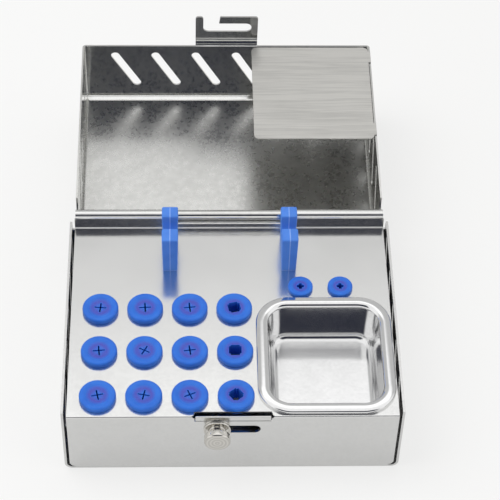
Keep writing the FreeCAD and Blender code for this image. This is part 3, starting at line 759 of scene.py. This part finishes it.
@dataclass
class Cup:
    """The polished cup: rolled rim, tapering walls and a round-edged floor."""

    effects: Effects
    rim_width: float = 5.2
    rim_corner: float = 14.0
    rim_height: float = 2.2
    rim_crown: float = 1.05
    rim_roll: float = 2.3
    rim_fall: float = 1.9
    sheet: float = 0.8
    draft_angle: float = 5.1
    floor_round: float = 3.2
    outer_round: float = 4.0
    least_corner: float = 1.5
    rearward: float = 0.1
    deeper: float = 1.0
    per_corner: int = 20
    per_side: int = 10
    finish: SteelFinish = SteelFinish(
        "CupSteel", tint=(0.84, 0.84, 0.84), dull_tint=(0.78, 0.78, 0.78), roughness=0.09, spread=0.03,
        fineness=700.0, relief=0.015, cloud=50.0, haze=0.07, haze_below=0.0185)

    def _section(self, depth: float) -> Profile:
        """Trace the rim's top and the cup's inside.

        Args:
            depth: the cup's depth over all.

        Returns:
            Inset from the rim's outline and height below its top, from the rim's edge to the floor.
        """
        crown, roll, fall = self.rim_crown, self.rim_roll, self.rim_fall
        crest = self.rim_width - roll
        path: Profile = [(self.rim_width - self.sheet, -self.rim_height), (0.5, -self.rim_height),
                         (0.12, -self.rim_height + 0.1), (0.0, -crown)]
        for step in range(1, 13):
            angle = math.radians(7.5 * step)
            path.append((crest - crest * math.cos(angle) ** 0.9, -crown + crown * math.sin(angle)))
        for step in range(1, 13):
            angle = math.radians(90 - 7.2 * step)
            path.append((crest + roll * math.cos(angle), -fall + fall * math.sin(angle)))
        draft, bend, floor = math.tan(math.radians(self.draft_angle)), self.floor_round, depth - self.sheet
        foot = self.rim_width + floor * draft - bend * draft
        path.append((foot, -(floor - bend)))
        for step in range(1, 10):
            angle = math.radians(self.draft_angle + (90 - self.draft_angle) * step / 9)
            path.append((foot + bend - bend * math.cos(angle), -(floor - bend) - bend * math.sin(angle)))
        path.append((foot + bend + 4.0, -floor - 0.02))
        return path

    def build(self) -> None:
        """Loft the cup through its section."""
        low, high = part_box("cup")
        centre = (low + high) / 2
        half = (high - low) / 2 / MM
        centre.y += self.rearward * MM
        half.y += self.deeper
        depth = (high.z - low.z) / MM
        wall, bend = self.rim_width - self.sheet, self.outer_round
        start = (wall + (depth - bend) * math.tan(math.radians(self.draft_angle)), -(depth - bend))
        outside: Profile = [start]
        for step in range(1, 7):
            angle = math.radians(15 * step)
            outside.append((start[0] + bend - bend * math.cos(angle), start[1] - bend * math.sin(angle)))
        section = outside[::-1] + [(wall, -self.rim_height - 0.01)] + self._section(depth)
        rings = []
        for inset, drop in section:
            corner = max(self.rim_corner - inset, self.least_corner)
            outline = rounded_rectangle(half.x - inset, half.y - inset, corner, self.per_corner, self.per_side)
            level = high.z + drop * MM
            rings.append([Vector((centre.x + x * MM, centre.y + y * MM, level)) for x, y in outline])
        cup = loft("cup_dressed", rings)
        keep(cup, "base", "cup_steel", self.finish.material(self.effects), "cup")


@dataclass
class Plugs:
    """The silicone plugs, set on the deck by one node tree.

    Each arm is the length and width of one of the two crossing cuts that make a plug's hole.
    """

    effects: Effects
    deck: float = field(init=False)
    cross_arm: Place = (5.0, 0.62)
    cross_depth: float = 3.0
    socket_arm: Place = (5.3, 3.8)
    socket_depth: float = 6.0
    small_arm: Place = (3.0, 1.3)
    small_scale: float = 0.704
    small_height: float = 0.69
    painted: float = 5.0
    fade: float = 1.6
    bracket_height: float = 19.8
    stem: Profile = field(default_factory=lambda: [
        (0.01, -4.45), (4.8, -4.45), (6.2, -3.05), (6.2, -1.05), (5.5, -1.05), (5.5, 0.02),
    ])
    turns: tuple[float, ...] = (12.0, 78.0, 24.0, 40.0, 5.0, 62.0, 8.0, 0.0, 84.0, 3.0, 6.0, 12.0)
    columns: int = 4
    top: Profile = field(default_factory=lambda: [
        (7.4, 0.02), (7.58, 0.2), (7.6, 0.5), (7.6, 1.6), (7.54, 1.95), (7.36, 2.27), (7.06, 2.5), (6.65, 2.6),
        (6.0, 2.58), (5.35, 2.5), (5.0, 2.36), (4.8, 2.24), (4.5, 2.18), (3.4, 2.12), (2.9, 2.1),
    ])
    finish: SiliconeFinish = SiliconeFinish("PlugSilicone")

    def __post_init__(self) -> None:
        """Take the deck's level from the bracket that stands on it."""
        self.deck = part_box("bracket_left")[1].z - self.bracket_height * MM

    def _body(self, name: str, scale: float, height: float, arm: Place, depth: float) -> bpy.types.Object:
        """One plug about its own axis, with a hole made of two crossing arms.

        Args:
            name: the plug's name.
            scale: its radius against a large plug's.
            height: its height against a large plug's.
            arm: length and width of each arm of the hole.
            depth: how far the hole goes down, in millimetres.

        Returns:
            The plug.
        """
        profile = [(radius * scale, level) for radius, level in self.stem]
        profile += [(radius * scale, level * height) for radius, level in self.top]
        profile.append((0.01, self.top[-1][1] * height))
        plug = lathe(name, profile)
        inner = plug.data.attributes.new("centre", "FLOAT", "POINT")
        for vertex, entry in zip(plug.data.vertices, inner.data):
            reach = vertex.co.xy.length / (scale * MM)
            entry.value = min(max((self.painted - reach) / self.fade, 0.0), 1.0) if vertex.co.z > 0 else 0.0
        for index, (length, width) in enumerate((arm, arm[::-1])):
            tool = bmesh.new()
            bmesh.ops.create_cube(tool, size=1.0)
            bmesh.ops.scale(tool, vec=Vector((length, width, depth * 2)) * MM, verts=tool.verts)
            cutter = finished(f"{name}_cut{index}", tool)
            cut = plug.modifiers.new("Hole", "BOOLEAN")
            cut.object = cutter
            cut.solver = "EXACT"
            plain_mesh(plug)
            bpy.data.objects.remove(cutter)
        return plug

    def _tree(self) -> bpy.types.NodeTree:
        """Build the node tree that sets a turned plug on every point.

        Returns:
            The tree.
        """
        group = bpy.data.node_groups.new("SetPlugs", "GeometryNodeTree")
        for label, kind in (("Places", "NodeSocketGeometry"), ("Plug", "NodeSocketObject"),
                            ("Size", FLOAT), ("Finish", "NodeSocketMaterial")):
            group.interface.new_socket(name=label, in_out="INPUT", socket_type=kind)
        group.interface.new_socket(name="Plugs", in_out="OUTPUT", socket_type="NodeSocketGeometry")
        tree = Tree(group)
        start = tree.add("NodeGroupInput")
        turn = tree.add("GeometryNodeInputNamedAttribute", {"Name": "turn"}, data_type="FLOAT")
        spin = tree.add("ShaderNodeCombineXYZ", {"Z": turn.outputs["Attribute"]})
        shape = tree.add("GeometryNodeObjectInfo", {"Object": start.outputs["Plug"]})
        placed = tree.add("GeometryNodeInstanceOnPoints", {
            "Points": start.outputs["Places"], "Instance": shape.outputs["Geometry"],
            "Rotation": spin.outputs[0], "Scale": start.outputs["Size"]})
        real = tree.add("GeometryNodeRealizeInstances", {"Geometry": placed.outputs[0]})
        dressed = tree.add("GeometryNodeSetMaterial", {"Geometry": real.outputs[0],
                                                       "Material": start.outputs["Finish"]})
        tree.add("NodeGroupOutput", {"Plugs": dressed.outputs[0]})
        return group

    def _set(self, name: str, plug: bpy.types.Object, nodes: Sequence[str], turns: Sequence[float],
             group: bpy.types.NodeTree, material: bpy.types.Material) -> None:
        """Set one kind of plug at its CAD nodes' places.

        Args:
            name: the name of the piece that holds all of them.
            plug: the plug, which is removed afterwards.
            nodes: the CAD nodes.
            turns: each plug's turn about its own axis, in degrees.
            group: the node tree that sets them.
            material: their finish.
        """
        mesh = bpy.data.meshes.new(name)
        points = [(*middle(node).xy, self.deck) for node in nodes]
        mesh.from_pydata(points, [], [])
        angles = mesh.attributes.new("turn", "FLOAT", "POINT")
        angles.data.foreach_set("value", [math.radians(turn) for turn in turns])
        row = bpy.data.objects.new(name, mesh)
        bpy.context.scene.collection.objects.link(row)
        modifier = row.modifiers.new("SetPlugs", "NODES")
        modifier.node_group = group
        values = {"Plug": plug, "Size": 1.0, "Finish": material}
        for item in group.interface.items_tree:
            if item.in_out == "INPUT" and item.name in values:
                modifier[item.identifier] = values[item.name]
        plain_mesh(row)
        row.data.polygons.foreach_set("use_smooth", [True] * len(row.data.polygons))
        row.data.set_sharp_from_angle(angle=math.radians(32))
        keep(row, "base", "plug_silicone", material, *nodes)
        bpy.data.objects.remove(plug)

    def build(self) -> None:
        """Make the three kinds of plug and set them."""
        material = self.finish.material(self.effects)
        group = self._tree()
        names = [f"plug_{number:02d}" for number in range(1, len(self.turns) + 1)]
        last = self.columns - 1
        for kind, arm, depth, at_end in (("cross", self.cross_arm, self.cross_depth, False),
                                         ("socket", self.socket_arm, self.socket_depth, True)):
            picked = [i for i in range(len(names)) if (i % self.columns == last) is at_end]
            plug = self._body(f"{kind}_plug", 1.0, 1.0, arm, depth)
            self._set(f"plugs_{kind}", plug, [names[i] for i in picked], [self.turns[i] for i in picked],
                      group, material)
        small = self._body("small_plug", self.small_scale, self.small_height, self.small_arm, self.socket_depth)
        self._set("plugs_small", small, ["small_plug_left", "small_plug_right"], (0.0, 0.0), group, material)


@dataclass
class Brackets:
    """The two notched silicone posts.

    A station is a share of the width, measured from the middle, and how far the outline is drawn in there.
    """

    effects: Effects
    front_lobe: float = 7.0
    notch: float = 6.6
    rear_lobe: float = 6.0
    height: float = 19.8
    notch_depth: float = 9.6
    width: float = 7.0
    foot: float = 6.2
    corner: float = 0.7
    foot_height: float = 0.25
    pale_share: float = 0.03
    stations: tuple[Place, ...] = (
        (-0.5, 0.5), (-0.48, 0.25), (-0.46, 0.1), (-0.42, 0.0), (-0.04, 0.0), (-0.02, -0.05),
        (0.02, -0.05), (0.04, 0.0), (0.42, 0.0), (0.46, 0.1), (0.48, 0.25), (0.5, 0.5),
    )
    finish: SiliconeFinish = SiliconeFinish(
        "BracketSilicone", colour=(0.085, 0.26, 0.80), deep=(0.06, 0.20, 0.70), middle=(0.28, 0.45, 0.92),
        roughness=0.5)

    def _outline(self, inset: float) -> Profile:
        """The post's side view with round corners.

        Args:
            inset: how far it is drawn in.

        Returns:
            The points, as y and z.
        """
        length = self.front_lobe + self.notch + self.rear_lobe
        near, far = self.front_lobe, self.front_lobe + self.notch
        low = self.height - self.notch_depth
        soft, round_floor = self.corner, self.notch / 2 - 0.02
        corners = [(inset, 0.0, 0.0), (length - inset, 0.0, 0.0), (length - inset, self.height - inset, soft),
                   (far + inset, self.height - inset, soft), (far + inset, low - inset, round_floor + inset),
                   (near - inset, low - inset, round_floor + inset), (near - inset, self.height - inset, soft),
                   (inset, self.height - inset, soft)]
        points: Profile = []
        for index, (y, z, radius) in enumerate(corners):
            here = Vector((y, z))
            if radius == 0.0:
                foot = [(y, z), (y, z + self.foot_height)]
                points += foot if index else foot[::-1]
                continue
            before = Vector(corners[index - 1][:2]) - here
            after = Vector(corners[(index + 1) % len(corners)][:2]) - here
            start = before.normalized() * radius
            end = after.normalized() * radius
            for step in range(9):
                angle = QUARTER * step / 8
                spot = here + start * (1 - math.sin(angle)) + end * (1 - math.cos(angle))
                points.append((spot.x, spot.y))
        return points

    def build(self) -> None:
        """Skin each post from its left face to its right face, with a thin parting line."""
        material = self.finish.material(self.effects)
        for side in Side:
            node = f"bracket_{side.value}"
            low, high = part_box(node)
            base = high.z - self.height * MM
            centre = (low.x + high.x) / 2
            rings = []
            for share, inset in self.stations:
                ring = []
                for y, z in self._outline(inset):
                    width = self.foot + (self.width - self.foot) * z / self.height
                    ring.append(Vector((centre + share * width * MM, low.y + y * MM, base + z * MM)))
                rings.append(ring)
            post = loft(f"{node}_dressed", rings)
            pale = post.data.attributes.new("centre", "FLOAT", "POINT")
            for vertex, entry in zip(post.data.vertices, pale.data):
                on_line = abs(vertex.co.x - centre) < self.pale_share * self.width * MM
                on_foot = vertex.co.z < base + 0.1 * MM
                entry.value = 1.0 if on_line or on_foot else 0.0
            keep(post, "base", "bracket_silicone", material, node)


@dataclass
class Latch:
    """The turned knob and its washer."""

    effects: Effects
    flange: float = 11.2
    flange_length: float = 0.8
    head: float = 10.8
    head_length: float = 3.7
    neck: float = 6.0
    neck_length: float = 2.4
    shank: float = 4.5
    segments: int = 72
    washer_edge: float = 0.12

    def build(self) -> None:
        """Turn the knob about its own axis and lay it along Y."""
        low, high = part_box("lock_knob")
        centre = (low + high) / 2
        front, rear = low.y / MM, high.y / MM
        head_rear = front + self.head_length
        flange_rear = head_rear + self.neck_length + self.flange_length
        half, head, neck, shank = self.flange / 2, self.head / 2, self.neck / 2, self.shank / 2
        profile: Profile = [
            (0.01, rear), (shank - 0.2, rear), (shank, rear - 0.2), (shank, flange_rear),
            (half - 0.15, flange_rear), (half, flange_rear - 0.15), (half, flange_rear - 0.65),
            (half - 0.2, flange_rear - self.flange_length), (neck + 0.3, flange_rear - self.flange_length),
            (neck, flange_rear - 1.1), (neck, head_rear + 0.2),
            (neck + 0.2, head_rear), (head - 0.6, head_rear), (head - 0.5, head_rear - 0.05),
            (head - 0.05, head_rear - 0.5), (head, head_rear - 0.6), (head, head_rear - 1.5),
            (head - 0.12, head_rear - 1.6), (head - 0.12, head_rear - 1.7), (head, head_rear - 1.8),
            (head, head_rear - 2.2), (head - 0.12, head_rear - 2.3), (head - 0.12, head_rear - 2.4),
            (head, head_rear - 2.5), (head, front + 0.62), (head - 0.05, front + 0.5),
            (head - 0.45, front + 0.05), (head - 0.6, front), (0.01, front),
        ]
        knob = loft("lock_knob_dressed", [
            [Vector((centre.x + x * MM, y * MM, centre.z + z * MM)) for x, z in circle(radius, self.segments)]
            for radius, y in profile])
        finish = TurnedFinish("KnobSteel", Vector((centre.x, 0.0, centre.z)))
        material = finish.material(self.effects)
        keep(knob, "latch", "knob_steel", material, "lock_knob")
        washer = copy_of("knob_washer", "knob_washer_dressed")
        soften(washer, self.washer_edge)
        keep(washer, "latch", "washer_steel", material, "knob_washer")


@dataclass(frozen=True)
class View:
    """The camera that took the photograph, in millimetres and degrees."""

    place: Colour = (-18.4, -499.2, 668.6)
    pitch: float = 49.65
    yaw: float = 2.90
    roll: float = 2.09
    lens: float = 136.8

    def build(self) -> None:
        """Set up the camera."""
        pitch, yaw, roll = (math.radians(a) for a in (self.pitch, self.yaw, self.roll))
        ahead = Vector((math.sin(yaw) * math.cos(pitch), math.cos(yaw) * math.cos(pitch), -math.sin(pitch)))
        level = Vector((math.cos(yaw), -math.sin(yaw), 0.0))
        upward = level.cross(ahead)
        right = level * math.cos(roll) + upward * math.sin(roll)
        up = upward * math.cos(roll) - level * math.sin(roll)
        data = bpy.data.cameras.new("View")
        data.lens = self.lens
        data.clip_start, data.clip_end = 0.01, 50.0
        camera = bpy.data.objects.new("View", data)
        turned = Matrix((right, up, -ahead)).transposed().to_4x4()
        camera.matrix_world = Matrix.Translation(Vector(self.place) * MM) @ turned
        bpy.context.scene.collection.objects.link(camera)
        bpy.context.scene.camera = camera


@dataclass
class Studio:
    """White floor, a white room with one dark side in front, and a soft lamp overhead."""

    room: float = 1.0
    dark: Colour = (0.035, 0.038, 0.055)
    backdrop: Colour = (0.96, 0.96, 0.96)
    floor_colour: Colour = (0.90, 0.90, 0.90)
    lamp_place: Point = (-0.45, 0.1, 0.9)
    lamp_aim: Point = (0.0, 0.0, 0.03)
    lamp_size: float = 0.7
    lamp_power: float = 3.0

    def build(self) -> None:
        """Build the floor, the world and the lamp."""
        self._world()
        self._floor()
        self._lamp()
        bpy.context.scene.view_settings.view_transform = "Standard"

    def _world(self) -> None:
        """The room as steel and silicone see it, and plain white for the camera."""
        world = bpy.data.worlds.new("Room")
        bpy.context.scene.world = world
        world.use_nodes = True
        tree = Tree(world.node_tree)
        ground = world.node_tree.nodes["Background"]
        heading = tree.add("ShaderNodeTexCoord").outputs["Generated"]
        parts = tree.add("ShaderNodeSeparateXYZ", {0: heading})
        x, y, z = parts.outputs
        flat = tree.math("SQRT", tree.math("ADD", tree.math("MULTIPLY", x, x), tree.math("MULTIPLY", y, y)))
        forward = tree.math("DIVIDE", tree.math("MULTIPLY", y, -1.0), tree.math("MAXIMUM", flat, 0.001))
        aside = tree.smooth_step(forward, 0.55, 0.72)
        below = tree.smooth_step(z, 0.89, 0.94, 1.0, 0.0)
        above = tree.smooth_step(z, 0.36, 0.52)
        shade = tree.math("MULTIPLY", tree.math("MULTIPLY", aside, below), above)
        behind = tree.smooth_step(y, 0.1, 0.45)
        grey = tree.smooth_step(z, 0.755, 0.825, 0.56, 1.3)
        rear = tree.blend(behind, (1.0, 1.0, 1.0, 1.0), grey)
        seen = tree.blend(shade, rear, (*self.dark, 1.0))
        rays = tree.add("ShaderNodeLightPath")
        colour = tree.blend(rays.outputs["Is Camera Ray"], seen, (*self.backdrop, 1.0))
        tree.tree.links.new(colour, ground.inputs["Color"])
        ground.inputs["Strength"].default_value = self.room

    def _floor(self) -> None:
        """A wide white floor that keeps a faint shadow."""
        made = bmesh.new()
        bmesh.ops.create_grid(made, x_segments=1, y_segments=1, size=4.0)
        floor = finished("Floor", made)
        material, tree, shader = new_material("FloorWhite")
        shader.inputs["Base Color"].default_value = (*self.floor_colour, 1.0)
        shader.inputs["Roughness"].default_value = 0.9
        shader.inputs["Specular IOR Level"].default_value = 0.0
        rays = tree.add("ShaderNodeLightPath")
        level = tree.add("ShaderNodeMapRange", {
            "Value": rays.outputs["Is Glossy Ray"], "To Min": 0.97, "To Max": 0.65}).outputs[0]
        glow = tree.add("ShaderNodeEmission", {"Color": (1.0, 1.0, 0.99, 1.0), "Strength": level})
        seen = tree.math("MAXIMUM", rays.outputs["Is Camera Ray"], rays.outputs["Is Glossy Ray"])
        share = tree.math("MULTIPLY", seen, 0.7)
        mixed = tree.add("ShaderNodeMixShader", {0: share, 1: shader.outputs[0], 2: glow.outputs[0]})
        out = material.node_tree.nodes["Material Output"]
        tree.tree.links.new(mixed.outputs[0], out.inputs["Surface"])
        floor.data.materials.append(material)

    def _lamp(self) -> None:
        """A broad lamp above and to the left, out of the steel's reflections."""
        data = bpy.data.lights.new("Softbox", "AREA")
        data.shape = "DISK"
        data.size = self.lamp_size
        data.energy = self.lamp_power
        lamp = bpy.data.objects.new("Softbox", data)
        lamp.location = self.lamp_place
        lamp.rotation_euler = (Vector(self.lamp_aim) - lamp.location).to_track_quat("-Z", "Y").to_euler()
        lamp.visible_glossy = False
        bpy.context.scene.collection.objects.link(lamp)


def main() -> None:
    """Build the studio and every sub-assembly."""
    View().build()
    Studio().build()
    effects = Effects()
    for part in (Casing, Cover, Cup, Plugs, Brackets, Latch):
        part(effects).build()
        log.info("%s done", part.__name__)


if __name__ == "__main__":
    main()
